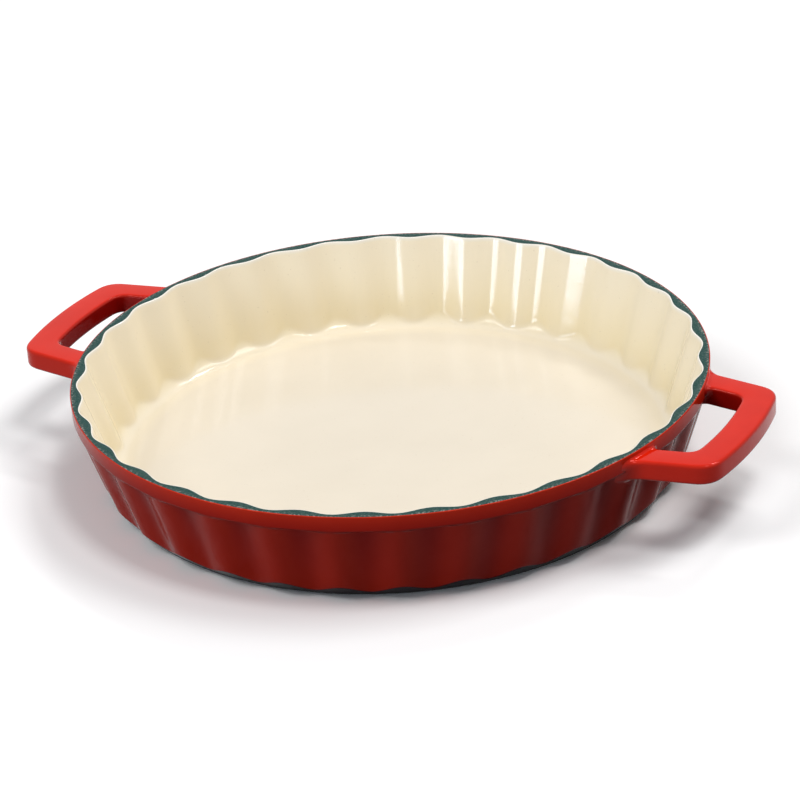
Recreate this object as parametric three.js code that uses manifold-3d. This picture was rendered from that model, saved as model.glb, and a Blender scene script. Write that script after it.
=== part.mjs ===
// Round roasting pan: one iron casting with a fluted wall and two loop handles,
// enamelled cream inside, red outside and dark on the rim and under the foot.
// Millimetres, +Z up, origin at the middle of the foot, +X through the right handle.

import * as THREE from "three";
import { LoftGeometry } from "three/addons/geometries/LoftGeometry.js";
import { mergeVertices } from "three/addons/utils/BufferGeometryUtils.js";
import Module from "manifold-3d";

// Bowl
const PAN_HEIGHT = 46; // table to the top of the rim
const RIM_RADIUS = 140; // axis to the outer face of the iron rim band
const BAND_HEIGHT = 6.5; // plain band round the rim
const BAND_LEDGE = 1; // fall of the ledge between the band and the flutes
const BAND_OVERHANG = 0.4; // band beyond the tops of the ridges
const WALL_TAPER = THREE.MathUtils.degToRad(17.5); // lean of the wall from upright
const WALL_THICKNESS = 3.9; // iron, square to the wall
const FLOOR_THICKNESS = 3.9; // iron under the cooking floor
const FLOOR_FILLET = 9; // turned corner between the floor and the creases
const FILLET_STEPS = 3;

// Flutes
const FLUTE_COUNT = 32;
const FLUTE_DEPTH = 2.5; // crease to the crown of a pillar
const FLUTE_COLUMNS = [0, 0.3, 0.5, 0.7]; // shares of a pitch, from a crease to the next

// Underside
const CHAMFER_ANGLE = THREE.MathUtils.degToRad(45); // slope of the bottom edge
const CHAMFER_WIDTH = 1.6; // chamfer left below a channel between two ridges
const FOOT_HEIGHT = 1.4; // table to the iron underside
const FOOT_WIDTH = 8; // finished ring that stands on the table
const FOOT_INSET = 2.2; // chamfer's lower edge to the finished ring
const FOOT_SIDES = 48;

// Handles, finished sizes
const HANDLE_REACH = 31.2; // finished rim band to the outer edge of the loop
const HANDLE_BAR = 13.8; // width of the grip
const HANDLE_HALF_SPAN = 42.5; // middle line to the outer edge of an arm, at the rim
const ARM_WIDTH = 12.6;
const ARM_TAPER = THREE.MathUtils.degToRad(9.5); // how the arms draw together
const HANDLE_THICKNESS = 9;
const HANDLE_DROP = 2.6; // top of the rim to the top of the handle
const HANDLE_EDGE = 2.2; // rounding of its edges
const GRIP_CORNER = 8; // outer corners of the loop
const GAP_CORNER = 5; // outer corners of the finger gap
const ROOT_FLARE = 7; // outer sweep of an arm into the rim band
const GAP_FLARE = 5.5; // inner sweep of an arm into the rim band
const SKIN_EDGE_STEPS = 2;
const CORE_EDGE_STEPS = 1;
const CURVE_STEPS = 3;

// Coats and cuts
const ENAMEL = 0.4; // every enamel coat
const CUT_OVERRUN = 1; // how far a cutting solid runs past what it cuts

const wasm = await Module();
wasm.setup();

const landLevel = PAN_HEIGHT - ENAMEL;
const bandLevel = PAN_HEIGHT - BAND_HEIGHT;
const fluteTopLevel = bandLevel - BAND_LEDGE;
const undersideLevel = FOOT_HEIGHT;
const floorLevel = undersideLevel + FLOOR_THICKNESS;
const wallLean = Math.tan(WALL_TAPER);
const acrossWall = 1 / Math.cos(WALL_TAPER);
const acrossChamfer = 1 / Math.sin(CHAMFER_ANGLE);
const flutePitch = 2 * Math.PI / FLUTE_COUNT;

// Radius of the outward ridge lines on the outside of the iron wall.
function ridgeRadius(level) {
  return RIM_RADIUS - BAND_OVERHANG - (fluteTopLevel - level) * wallLean;
}

// Radius of the creases between the pillars, on the inside of the iron wall.
function creaseRadius(level) {
  return ridgeRadius(level) - WALL_THICKNESS * acrossWall;
}

// How far the wall stands in from its ridge line, most on the handle axis.
function fluteDip(angle) {
  return FLUTE_DEPTH * (1 + Math.cos(FLUTE_COUNT * angle)) / 2;
}

const chamferRadius = ridgeRadius(undersideLevel) - FLUTE_DEPTH - CHAMFER_WIDTH;

// One ring of points round the axis, with columns on every crease and pillar crown.
function ring(pointAt) {
  const points = [];
  for (let flute = 0; flute < FLUTE_COUNT; flute += 1) {
    for (const share of FLUTE_COLUMNS) {
      const angle = (flute + 0.5 + share) * flutePitch;
      const [radius, level] = pointAt(angle);
      points.push(new THREE.Vector3(radius * Math.cos(angle), radius * Math.sin(angle), level));
    }
  }
  return points;
}

function closedLoft(rings) {
  return solidFrom(new LoftGeometry(rings, { closed: true, capStart: true, capEnd: true }));
}

// The outside of the bowl, filled: chamfer, fluted wall, ledge and rim band.
function bowlOutside(coat, topLevel) {
  const ledgeLevel = fluteTopLevel - coat;
  const chamferEdge = chamferRadius + coat * acrossChamfer;
  const wallRadius = (angle, level) => ridgeRadius(level) + coat * acrossWall - fluteDip(angle);
  const wallFoot = (angle) => {
    const overhang = wallRadius(angle, undersideLevel) - chamferEdge;
    const rise = overhang / (1 / Math.tan(CHAMFER_ANGLE) - wallLean);
    return [wallRadius(angle, undersideLevel + rise), undersideLevel + rise];
  };
  return closedLoft([
    ring(() => [chamferEdge, undersideLevel]),
    ring(wallFoot),
    ring((angle) => [wallRadius(angle, ledgeLevel), ledgeLevel]),
    ring(() => [RIM_RADIUS + coat, bandLevel - coat]),
    ring(() => [RIM_RADIUS + coat, topLevel]),
  ]);
}

// The hollow of the bowl: flat floor, turned fillet, and pillars that the fillet
// cuts off in a curve at their feet.
function bowlHollow(coat, wallLevels) {
  const fillet = FLOOR_FILLET - coat;
  const centreLevel = floorLevel + FLOOR_FILLET;
  const centreRadius = creaseRadius(centreLevel) - FLOOR_FILLET * acrossWall;
  const filletPoint = (angle, share) => {
    const floorTurn = -Math.PI / 2;
    const pillarTurn = Math.acos(1 - fluteDip(angle) * Math.cos(WALL_TAPER) / fillet);
    const turn = THREE.MathUtils.lerp(floorTurn, -WALL_TAPER - pillarTurn, share);
    return [centreRadius + fillet * Math.cos(turn), centreLevel + fillet * Math.sin(turn)];
  };
  const wallPoint = (angle, level) => {
    return [creaseRadius(level) - coat * acrossWall - fluteDip(angle), level];
  };
  const rings = [];
  for (let step = 0; step <= FILLET_STEPS; step += 1) {
    rings.push(ring((angle) => filletPoint(angle, step / FILLET_STEPS)));
  }
  for (const level of wallLevels) {
    rings.push(ring((angle) => wallPoint(angle, level)));
  }
  return closedLoft(rings);
}

// Handle plan. An arm's edge runs out from the rim, drawing in toward the middle line.
const finishedRim = RIM_RADIUS + ENAMEL;
const gripRadius = finishedRim + HANDLE_REACH;
const gapRadius = gripRadius - HANDLE_BAR;
const gapHalfSpan = HANDLE_HALF_SPAN - ARM_WIDTH / Math.cos(ARM_TAPER);
const handleTopLevel = PAN_HEIGHT - HANDLE_DROP;
const handleBottomLevel = handleTopLevel - HANDLE_THICKNESS;
const rootRadius = creaseRadius(handleBottomLevel) - FLUTE_DEPTH;

// Where the edge of an arm crosses a circle round the axis.
function armCrossing(halfSpan, radius) {
  const slope = Math.tan(ARM_TAPER);
  const intercept = halfSpan + finishedRim * slope;
  const spread = 1 + slope * slope;
  const reach = Math.sqrt(spread * radius * radius - intercept * intercept);
  const x = (intercept * slope + reach) / spread;
  return new THREE.Vector2(x, intercept - x * slope);
}

function alongArm(corner, distance) {
  const run = new THREE.Vector2(Math.cos(ARM_TAPER), -Math.sin(ARM_TAPER));
  return corner.clone().addScaledVector(run, distance);
}

function roundAxis(corner, distance) {
  return corner.clone().rotateAround(new THREE.Vector2(), distance / corner.length());
}

function atRadius(point, radius) {
  return point.clone().setLength(radius);
}

// Half of one edge of the loop, from the rim band round to the middle line: the sweep
// at the root, the side of the arm and the corner. Away is 1 where the root sweeps away
// from the middle line, and -1 where it sweeps toward it.
function loopEdge(halfSpan, radius, flare, corner, away) {
  const root = armCrossing(halfSpan, finishedRim);
  const end = armCrossing(halfSpan, radius);
  return {
    rootStart: roundAxis(root, away * flare),
    root,
    rootEnd: alongArm(root, flare),
    cornerStart: alongArm(end, -corner),
    end,
    cornerEnd: roundAxis(end, -corner),
  };
}

function mirrored(point) {
  return new THREE.Vector2(point.x, -point.y);
}

function lineTo(outline, point) {
  outline.lineTo(point.x, point.y);
}

function sweepTo(outline, corner, point) {
  outline.quadraticCurveTo(corner.x, corner.y, point.x, point.y);
}

function handleOutline() {
  const grip = loopEdge(HANDLE_HALF_SPAN, gripRadius, ROOT_FLARE, GRIP_CORNER, 1);
  const gap = loopEdge(gapHalfSpan, gapRadius, GAP_FLARE, GAP_CORNER, -1);
  const outline = new THREE.Shape();
  const start = mirrored(atRadius(grip.rootStart, rootRadius));
  outline.moveTo(start.x, start.y);
  lineTo(outline, mirrored(grip.rootStart));
  sweepTo(outline, mirrored(grip.root), mirrored(grip.rootEnd));
  lineTo(outline, mirrored(grip.cornerStart));
  sweepTo(outline, mirrored(grip.end), mirrored(grip.cornerEnd));
  outline.absarc(0, 0, gripRadius, -grip.cornerEnd.angle(), grip.cornerEnd.angle(), false);
  sweepTo(outline, grip.end, grip.cornerStart);
  lineTo(outline, grip.rootEnd);
  sweepTo(outline, grip.root, grip.rootStart);
  lineTo(outline, atRadius(grip.rootStart, rootRadius));
  lineTo(outline, atRadius(gap.rootStart, rootRadius));
  lineTo(outline, gap.rootStart);
  sweepTo(outline, gap.root, gap.rootEnd);
  lineTo(outline, gap.cornerStart);
  sweepTo(outline, gap.end, gap.cornerEnd);
  outline.absarc(0, 0, gapRadius, gap.cornerEnd.angle(), -gap.cornerEnd.angle(), true);
  sweepTo(outline, mirrored(gap.end), mirrored(gap.cornerStart));
  lineTo(outline, mirrored(gap.rootEnd));
  sweepTo(outline, mirrored(gap.root), mirrored(gap.rootStart));
  lineTo(outline, mirrored(atRadius(gap.rootStart, rootRadius)));
  return outline;
}

// A whole loop, its surface standing in by the inset given.
function handleLoop(inset, edgeSteps, turn) {
  const geometry = new THREE.ExtrudeGeometry(handleOutline(), {
    depth: HANDLE_THICKNESS - 2 * HANDLE_EDGE,
    bevelThickness: HANDLE_EDGE - inset,
    bevelSize: HANDLE_EDGE - inset,
    bevelOffset: -HANDLE_EDGE,
    bevelSegments: edgeSteps,
    curveSegments: CURVE_STEPS,
  });
  geometry.translate(0, 0, handleBottomLevel + HANDLE_EDGE);
  geometry.rotateZ(turn);
  return solidFrom(geometry);
}

// Cone inside the iron wall, where the iron of a handle stops.
function wallKey() {
  const margin = (WALL_THICKNESS * acrossWall - FLUTE_DEPTH) / 2;
  const low = handleBottomLevel - CUT_OVERRUN;
  const cone = (level) => ring(() => [creaseRadius(level) + margin, level]);
  return closedLoft([cone(low), cone(PAN_HEIGHT)]);
}

function turned(profile) {
  const points = profile.map(([radius, level]) => new THREE.Vector2(radius, level));
  const geometry = new THREE.LatheGeometry(points, FOOT_SIDES);
  geometry.rotateX(Math.PI / 2);
  return solidFrom(geometry);
}

// Underside: an iron ring under the casting, and the dark coat over all of it.
const footOutside = chamferRadius - FOOT_INSET - ENAMEL;
const footInside = footOutside - FOOT_WIDTH + 2 * ENAMEL;

function ironFoot() {
  const bonded = undersideLevel + FLOOR_THICKNESS / 2;
  return turned([
    [footInside, ENAMEL],
    [footOutside, ENAMEL],
    [footOutside, bonded],
    [footInside, bonded],
    [footInside, ENAMEL],
  ]);
}

function footCoat() {
  const coatLevel = undersideLevel - ENAMEL;
  const coatEdge = chamferRadius + ENAMEL * acrossChamfer;
  return turned([
    [0, coatLevel],
    [footInside - ENAMEL, coatLevel],
    [footInside - ENAMEL, 0],
    [footOutside + ENAMEL, 0],
    [footOutside + ENAMEL, coatLevel],
    [coatEdge, coatLevel],
    [coatEdge, undersideLevel],
    [footOutside, undersideLevel],
    [footOutside, ENAMEL],
    [footInside, ENAMEL],
    [footInside, undersideLevel],
    [0, undersideLevel],
  ]);
}

function solidFrom(geometry) {
  const bare = new THREE.BufferGeometry();
  bare.setAttribute("position", geometry.getAttribute("position"));
  bare.setIndex(geometry.getIndex());
  const merged = mergeVertices(bare);
  const corners = merged.getIndex().array;
  const whole = [];
  for (let first = 0; first < corners.length; first += 3) {
    const [a, b, c] = corners.slice(first, first + 3);
    if (a !== b && b !== c && c !== a) {
      whole.push(a, b, c);
    }
  }
  return new wasm.Manifold(new wasm.Mesh({
    numProp: 3,
    vertProperties: merged.getAttribute("position").array,
    triVerts: Uint32Array.from(whole),
  }));
}

function meshFrom(name, solid, material) {
  const { vertProperties, triVerts } = solid.getMesh();
  const geometry = new THREE.BufferGeometry();
  geometry.setAttribute("position", new THREE.BufferAttribute(vertProperties, 3));
  geometry.setIndex(new THREE.BufferAttribute(triVerts, 1));
  geometry.computeVertexNormals();
  const mesh = new THREE.Mesh(geometry, material);
  mesh.name = name;
  return mesh;
}

// Solids that more than one piece is cut from, so that the faces agree.
const ironOutside = bowlOutside(0, landLevel);
const redOutside = bowlOutside(ENAMEL, PAN_HEIGHT);
const ironHollow = bowlHollow(0, [landLevel, PAN_HEIGHT]);
const creamHollow = bowlHollow(ENAMEL, [PAN_HEIGHT + CUT_OVERRUN]);
const rimBlank = closedLoft([
  ring(() => [RIM_RADIUS, landLevel]),
  ring(() => [RIM_RADIUS, PAN_HEIGHT]),
]);
const rightSkin = handleLoop(0, SKIN_EDGE_STEPS, 0);
const leftSkin = handleLoop(0, SKIN_EDGE_STEPS, Math.PI);
const rightCore = handleLoop(ENAMEL, CORE_EDGE_STEPS, 0);
const leftCore = handleLoop(ENAMEL, CORE_EDGE_STEPS, Math.PI);

const ironCasting = ironOutside
  .subtract(ironHollow)
  .add(ironFoot())
  .add(rightCore.subtract(wallKey()))
  .add(leftCore.subtract(wallKey()));
const creamLining = ironHollow.subtract(creamHollow);
const rimCoat = rimBlank.subtract(ironHollow);
const redWallCoat = redOutside
  .subtract(ironOutside)
  .subtract(rimBlank)
  .subtract(rightCore)
  .subtract(leftCore);
const rightHandleCoat = rightSkin.subtract(rightCore).subtract(redOutside);
const leftHandleCoat = leftSkin.subtract(leftCore).subtract(redOutside);

const castIron = new THREE.MeshStandardMaterial({ color: 0x4b4a4a, roughness: 0.7, metalness: 0.8 });
const creamEnamel = new THREE.MeshStandardMaterial({ color: 0xf2e6cf, roughness: 0.15, metalness: 0 });
const redEnamel = new THREE.MeshStandardMaterial({ color: 0xc02a22, roughness: 0.12, metalness: 0 });
const rimEnamel = new THREE.MeshStandardMaterial({ color: 0x4a5d58, roughness: 0.55, metalness: 0 });
const footEnamel = new THREE.MeshStandardMaterial({ color: 0x2b3232, roughness: 0.6, metalness: 0 });

const roastingPan = new THREE.Group();
roastingPan.add(
  meshFrom("iron_casting", ironCasting, castIron),
  meshFrom("cream_lining", creamLining, creamEnamel),
  meshFrom("rim_coat", rimCoat, rimEnamel),
  meshFrom("red_wall_coat", redWallCoat, redEnamel),
  meshFrom("left_handle_coat", leftHandleCoat, redEnamel),
  meshFrom("right_handle_coat", rightHandleCoat, redEnamel),
  meshFrom("foot_coat", footCoat(), footEnamel),
);

export default roastingPan;
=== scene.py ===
# %% [markdown]
# # A round fluted pan in enamelled cast iron
# The real pan is one iron casting. Glass is melted onto it in coats: cream inside, red
# outside, and a thin dark ground coat on the rim and under the foot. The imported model
# gives the casting and its coats their places and sizes, so it is loaded first and never
# moved. Each coat is then made again here as a finer skin in the same place.

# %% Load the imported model
import math

import bpy
import numpy as np
from mathutils import Matrix, Vector


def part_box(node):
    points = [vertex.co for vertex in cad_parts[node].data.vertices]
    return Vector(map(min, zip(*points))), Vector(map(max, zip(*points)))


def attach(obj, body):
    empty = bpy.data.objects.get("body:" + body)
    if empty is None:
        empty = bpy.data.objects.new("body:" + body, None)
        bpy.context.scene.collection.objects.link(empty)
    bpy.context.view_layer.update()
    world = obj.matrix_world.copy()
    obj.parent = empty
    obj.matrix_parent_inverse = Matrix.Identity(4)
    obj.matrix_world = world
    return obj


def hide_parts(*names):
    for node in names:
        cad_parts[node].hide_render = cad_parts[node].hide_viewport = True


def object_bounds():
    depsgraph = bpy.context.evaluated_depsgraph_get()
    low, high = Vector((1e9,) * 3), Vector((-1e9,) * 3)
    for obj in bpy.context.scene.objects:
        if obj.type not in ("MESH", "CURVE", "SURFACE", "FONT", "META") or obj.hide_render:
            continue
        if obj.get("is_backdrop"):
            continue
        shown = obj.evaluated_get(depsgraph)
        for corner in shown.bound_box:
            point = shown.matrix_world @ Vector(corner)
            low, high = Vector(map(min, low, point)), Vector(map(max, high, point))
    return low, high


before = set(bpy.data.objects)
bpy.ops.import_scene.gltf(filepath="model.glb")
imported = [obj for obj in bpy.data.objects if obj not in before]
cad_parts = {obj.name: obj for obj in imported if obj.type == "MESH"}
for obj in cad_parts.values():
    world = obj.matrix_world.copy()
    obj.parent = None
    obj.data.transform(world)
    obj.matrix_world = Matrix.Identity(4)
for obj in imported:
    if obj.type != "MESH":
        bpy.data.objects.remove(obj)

cad_box = [list(corner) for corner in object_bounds()]
print("packed nodes:", ", ".join(sorted(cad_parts)))

# %% [markdown]
# ## The fluted wall as a rule
# Thirty-two soft flutes run round the wall. They could be carved one by one, or copied
# round an axis. A rule that gives the wall's radius at any angle and height is better
# here, because the lining, the rim, the red skin and the handle roots all follow the
# same wave, and a seam between two skins then closes by itself. Lengths are in
# millimetres and become metres when a mesh is made.

# %% Sizes of the wall
PAN_HEIGHT = 46.0  # table to the top of the rim
RIM_RADIUS = 140.0  # axis to the iron of the band
BAND_HEIGHT = 6.5  # plain band round the rim
BAND_LEDGE = 1.0  # fall of the ledge between the band and the flutes
BAND_OVERHANG = 0.4  # band beyond the tops of the ridges
UNDERSIDE = 1.4  # table to the iron
WALL_THICKNESS = 3.9  # iron, square to the wall
WALL_TAPER = math.radians(17.5)  # lean of the wall from upright
FLUTE_COUNT = 32
FLUTE_DEPTH = 2.5  # crease to the crown of a pillar
ENAMEL = 0.4  # every coat of glass
BAND_LEVEL = PAN_HEIGHT - BAND_HEIGHT
FLUTE_TOP = BAND_LEVEL - BAND_LEDGE
WALL_LEAN = math.tan(WALL_TAPER)
ACROSS_WALL = 1 / math.cos(WALL_TAPER)
print(f"the flutes end {FLUTE_TOP} mm above the table, under a band of {BAND_HEIGHT} mm")


# %% Wall rule
def flute_dip(angle):
    """How far the wall stands in from its ridge line: most on the crown of a pillar."""
    return FLUTE_DEPTH * (1 + np.cos(FLUTE_COUNT * angle)) / 2


def iron_outside(angle, level):
    """Radius of the outer face of the fluted iron at an angle and a level."""
    ridge = RIM_RADIUS - BAND_OVERHANG - (FLUTE_TOP - level) * WALL_LEAN
    return ridge - flute_dip(angle)


def iron_inside(angle, level):
    """Radius of the inner face, one thickness of iron further in."""
    return iron_outside(angle, level) - WALL_THICKNESS * ACROSS_WALL


COLUMNS_PER_FLUTE = 24
COLUMNS = FLUTE_COUNT * COLUMNS_PER_FLUTE
column_angle = np.arange(COLUMNS) * math.tau / COLUMNS
dip = flute_dip(column_angle)
print(f"wall rule: {COLUMNS} columns, dip {dip.min():.2f} to {dip.max():.2f} mm")

# %% [markdown]
# ## Rounded section lines
# Melted glass leaves no knife edges, so every section line needs soft corners. A bevel
# modifier could round them after the mesh is made, but its width would wander where the
# flutes tighten. Here each corner of a section becomes a short curve before any mesh
# exists. All the columns are worked at once, with one section line for each column.

# %% Section helpers
CORNER_STEPS = 6
STRAIGHT_SHARES = (0, 0.06, 0.3, 0.6, 0.94)  # rings along a straight, closer near its ends


def section_point(radius, level):
    """One corner of the section, for every column."""
    whole = np.ones(COLUMNS)
    return np.array([radius * whole, level * whole])


def bend(start, corner, end, share):
    """Point at a share of a soft curve that leaves start and reaches end by way of corner."""
    return (1 - share) ** 2 * start + 2 * share * (1 - share) * corner + share ** 2 * end


def toward(start, end):
    """Direction from start to end, one unit long."""
    run = end - start
    return run / np.linalg.norm(run, axis=0)


def softened(corners, reaches, between=STRAIGHT_SHARES):
    """Section line through the corners. Reaches are how far each inner corner's curve runs."""
    rows, last = [], corners[0]
    for corner, after, reach in zip(corners[1:-1], corners[2:], reaches):
        first = corner - toward(last, corner) * reach
        rows += [last + (first - last) * share for share in between]
        leave = corner + toward(corner, after) * reach
        for step in range(CORNER_STEPS):
            rows.append(bend(first, corner, leave, step / CORNER_STEPS))
        last = leave
    rows += [last + (corners[-1] - last) * share for share in between]
    return rows + [corners[-1]]


print(f"soft corners have {CORNER_STEPS} steps each")

# %% [markdown]
# ## From section lines to a mesh
# A turned skin is a stack of rings. A section that comes back to its start makes a closed
# band like a tyre, and one that starts and ends on the axis makes a closed dish. Screw or
# spin could turn a plain section, but not one that changes from column to column, so the
# faces are written out ring by ring.

# %% A piece from points and faces
MILLIMETRE = 0.001


def made_piece(name, points, faces, node):
    """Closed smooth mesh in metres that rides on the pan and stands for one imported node."""
    mesh = bpy.data.meshes.new(name)
    mesh.from_pydata((np.asarray(points) * MILLIMETRE).tolist(), [], faces)
    mesh.polygons.foreach_set("use_smooth", np.ones(len(faces), bool))
    piece = bpy.data.objects.new(name, mesh)
    bpy.context.scene.collection.objects.link(piece)
    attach(piece, "root")
    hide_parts(node)
    low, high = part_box(node)
    width = (high - low).x / MILLIMETRE
    print(f"{name}: {len(faces)} faces, stands for a node {width:.1f} mm wide")
    return piece


print(f"pieces are made in metres, and a millimetre is {MILLIMETRE}")


# %% Rings of points and faces
def ring_points(rows):
    """Points of stacked rings, from rows of radius and level."""
    around = np.array([np.cos(column_angle), np.sin(column_angle)])
    rings = [np.vstack([around * radius, level]).T for radius, level in rows]
    return np.concatenate(rings)


def ring_faces(first, second):
    """Faces between two rings, given by the number of their first points."""
    turn = np.arange(COLUMNS)
    after = np.roll(turn, -1)
    quads = np.array([first + turn, first + after, second + after, second + turn]).T
    return quads.tolist()


def stacked_faces(count):
    faces = []
    for ring in range(count - 1):
        faces += ring_faces(ring * COLUMNS, (ring + 1) * COLUMNS)
    return faces


print(f"two rings are joined by {len(stacked_faces(2))} faces")


# %% Closed bands and dishes
def tyre(name, rows, node):
    """Closed band: the last ring joins the first."""
    faces = stacked_faces(len(rows)) + ring_faces((len(rows) - 1) * COLUMNS, 0)
    return made_piece(name, ring_points(rows), faces, node)


def dish(name, rows, node):
    """Closed dish: both ends of the section run to the axis at their own level."""
    points = ring_points(rows)
    poles = [[0, 0, rows[0][1][0]], [0, 0, rows[-1][1][0]]]
    low, high, top = len(points), len(points) + 1, (len(rows) - 1) * COLUMNS
    faces = stacked_faces(len(rows))
    for turn in range(COLUMNS):
        after = (turn + 1) % COLUMNS
        faces += [[low, after, turn], [high, top + turn, top + after]]
    return made_piece(name, np.vstack([points, poles]), faces, node)


print("a section can now become a closed band or a closed dish")

# %% [markdown]
# ## Red skin of the wall
# The red coat starts under the bottom edge, climbs a turned chamfer that cuts the flutes
# off in scallops, runs up the fluted wall and steps out under a plain band round the rim.
# The scallops could be cut with a cone, which leaves broken faces. Here they come from
# the place where the flute rule meets the chamfer, one height for each column.

# %% Corners of the outside
CHAMFER_WIDTH = 1.6  # chamfer left below a channel between two ridges
CHAMFER_SLOPE = math.radians(45)
chamfer_radius = iron_outside(0.0, UNDERSIDE) - CHAMFER_WIDTH


def outside_corners(coat):
    """Corners of the outside under a coat of that thickness, from the foot to the band's top."""
    def face(level):
        return iron_outside(column_angle, level) + coat * ACROSS_WALL
    edge = chamfer_radius + coat / math.sin(CHAMFER_SLOPE)
    rise = (face(UNDERSIDE) - edge) / (1 / math.tan(CHAMFER_SLOPE) - WALL_LEAN)
    ledge = FLUTE_TOP - coat
    return [
        section_point(edge, UNDERSIDE),
        section_point(face(UNDERSIDE + rise), UNDERSIDE + rise),
        section_point(face(ledge), ledge),
        section_point(RIM_RADIUS + coat, BAND_LEVEL - coat),
        section_point(RIM_RADIUS + coat, PAN_HEIGHT),
    ]


front = outside_corners(ENAMEL) + [section_point(RIM_RADIUS, PAN_HEIGHT)]
chamfer_top = front[1][1]
print(f"the chamfer ends {chamfer_top.min():.2f} to {chamfer_top.max():.2f} mm above the table")

# %% Red wall skin
CHAMFER_REACH = 1.1
LEDGE_REACH = 0.45
BAND_FOOT_REACH = 0.7
BAND_TOP_REACH = 0.38
front_rows = softened(front, (CHAMFER_REACH, LEDGE_REACH, BAND_FOOT_REACH, BAND_TOP_REACH))
back = outside_corners(0.0)[::-1]
back[0] = section_point(RIM_RADIUS, PAN_HEIGHT - ENAMEL)
red_wall = tyre("red_wall_skin", front_rows + back, "red_wall_coat")

# %% [markdown]
# ## Cream lining
# Inside, each flute shows as a convex pillar. The corner of the floor is turned, so it
# cuts every pillar off in a U, with a cusp in the crease between two of them. The Us could
# be sculpted one by one. It is simpler to follow the turned corner up to the pillar, and a
# soft bend there stands for the glass that gathers at a pillar's foot.

# %% Lining sections
FLOOR_THICKNESS = 3.9  # iron under the cooking floor
FLOOR_LEVEL = UNDERSIDE + FLOOR_THICKNESS
FLOOR_FILLET = 9.0  # turned corner between the floor and the creases
FLOOR_TURN = -math.pi / 2  # where that corner leaves the floor
fillet_level = FLOOR_LEVEL + FLOOR_FILLET
fillet_radius = iron_inside(0.0, fillet_level) + FLUTE_DEPTH - FLOOR_FILLET * ACROSS_WALL


def fillet_point(coat, turn):
    """Point on the turned corner, under a coat of that thickness."""
    reach = FLOOR_FILLET - coat
    return section_point(fillet_radius + reach * np.cos(turn), fillet_level + reach * np.sin(turn))


def pillar_turn(coat):
    """Angle on the turned corner at which it meets each column of the wall."""
    reach = FLOOR_FILLET - coat
    return -WALL_TAPER - np.arccos(1 - dip * math.cos(WALL_TAPER) / reach)


def lining_face(coat, level):
    """Corner on the inside of the wall, under a coat of that thickness."""
    return section_point(iron_inside(column_angle, level) - coat * ACROSS_WALL, level)


foot_turn = pillar_turn(ENAMEL)
foot_corner = fillet_point(ENAMEL, foot_turn)
print(f"pillar feet {foot_corner[1].min():.2f} mm above the table")

# %% Face of the lining
PILLAR_FOOT = 1.3  # reach of the soft bend at a pillar's foot
LIP_REACH = 0.45
FLOOR_SHARES = (0.12, 0.3, 0.5, 0.7, 0.85, 0.95, 0.99)
CURVE_SHARES = np.linspace(0, 1, 9)
FOOT_SHARES = np.linspace(0, 1, 7)
WALL_SHARES = (0, 0.04, 0.2, 0.4, 0.6, 0.8, 0.96)
curve_end = foot_turn - PILLAR_FOOT / (FLOOR_FILLET - ENAMEL)
curve = [fillet_point(ENAMEL, FLOOR_TURN + (curve_end - FLOOR_TURN) * share)
         for share in CURVE_SHARES]
lip_corner = lining_face(ENAMEL, PAN_HEIGHT)
lip_end = section_point(lip_corner[0] + LIP_REACH, PAN_HEIGHT)
wall_start = foot_corner + toward(foot_corner, lip_corner) * PILLAR_FOOT
seen = [section_point(curve[0][0] * share, FLOOR_LEVEL + ENAMEL) for share in FLOOR_SHARES]
seen += curve
seen += [bend(curve[-1], foot_corner, wall_start, share) for share in FOOT_SHARES[1:-1]]
seen += softened([wall_start, lip_corner, lip_end], (LIP_REACH,), WALL_SHARES)
print(f"the lining's face has {len(seen)} rings from the middle of the floor to the lip")

# %% Cream lining skin
LIP_BACK = 3 * ENAMEL  # how far below the rim the lining's back turns to the lip
hidden_curve = pillar_turn(0.0) - FLOOR_TURN
hidden = [section_point(fillet_radius * share, FLOOR_LEVEL) for share in (FLOOR_SHARES[0], 1)]
hidden += [fillet_point(0.0, FLOOR_TURN + hidden_curve * share) for share in FOOT_SHARES[1:]]
hidden += [lining_face(0.0, PAN_HEIGHT - LIP_BACK), section_point(lip_end[0], PAN_HEIGHT - ENAMEL)]
lining_rows = hidden + seen[::-1]
lining = dish("cream_lining_skin", lining_rows, "cream_lining")

# %% [markdown]
# ## Iron core
# Under the coats is the casting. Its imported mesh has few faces, and their flat chords
# would poke through a fine coat in the tight corner of the floor. So the core of the bowl
# is made again from the iron side of the two skins, which fits them exactly.

# %% Iron core
INNER_RING = 20.0  # first ring round the middle of a flat disc
core_rows = [section_point(INNER_RING, UNDERSIDE)] + back[::-1] + hidden[::-1]
iron_core = dish("iron_core", core_rows, "iron_casting")

# %% [markdown]
# ## Rim land
# On the flat top of the rim only the dark ground coat is left, because the pan stands on
# it in the kiln. It is a narrow land, wavy on the inside where it follows the flutes and
# round on the outside. It could be a colour on the edge of the lining, but a ring of its
# own has crisp borders. It is crowned by a hair so that light fades across it.

# %% Rim land
LAND_DROP = 0.03  # rim to the level halfway up its crown
LAND_CROWN = 0.06
LAND_LAP = 0.08  # how far it runs under the coats beside it
LAND_DEPTH = 2 * ENAMEL
LAND_SHARES = np.linspace(0, 1, 7)


def crowned(share):
    """Rise of a crown at a share of its width: none at the edges and one in the middle."""
    return 4 * share * (1 - share)


inner_edge = section_point(lip_end[0] - LAND_LAP, PAN_HEIGHT - LAND_DROP)
outer_edge = section_point(RIM_RADIUS + LAND_LAP, PAN_HEIGHT - LAND_DROP)
land_rows = []
for share in LAND_SHARES:
    crown = section_point(0.0, LAND_CROWN * (crowned(share) - 0.5))
    land_rows.append(outer_edge + (inner_edge - outer_edge) * share + crown)
under = section_point(0.0, LAND_DEPTH)
land_rows += [inner_edge - under, outer_edge - under]
rim_land = tyre("rim_land", land_rows, "rim_coat")

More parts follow.
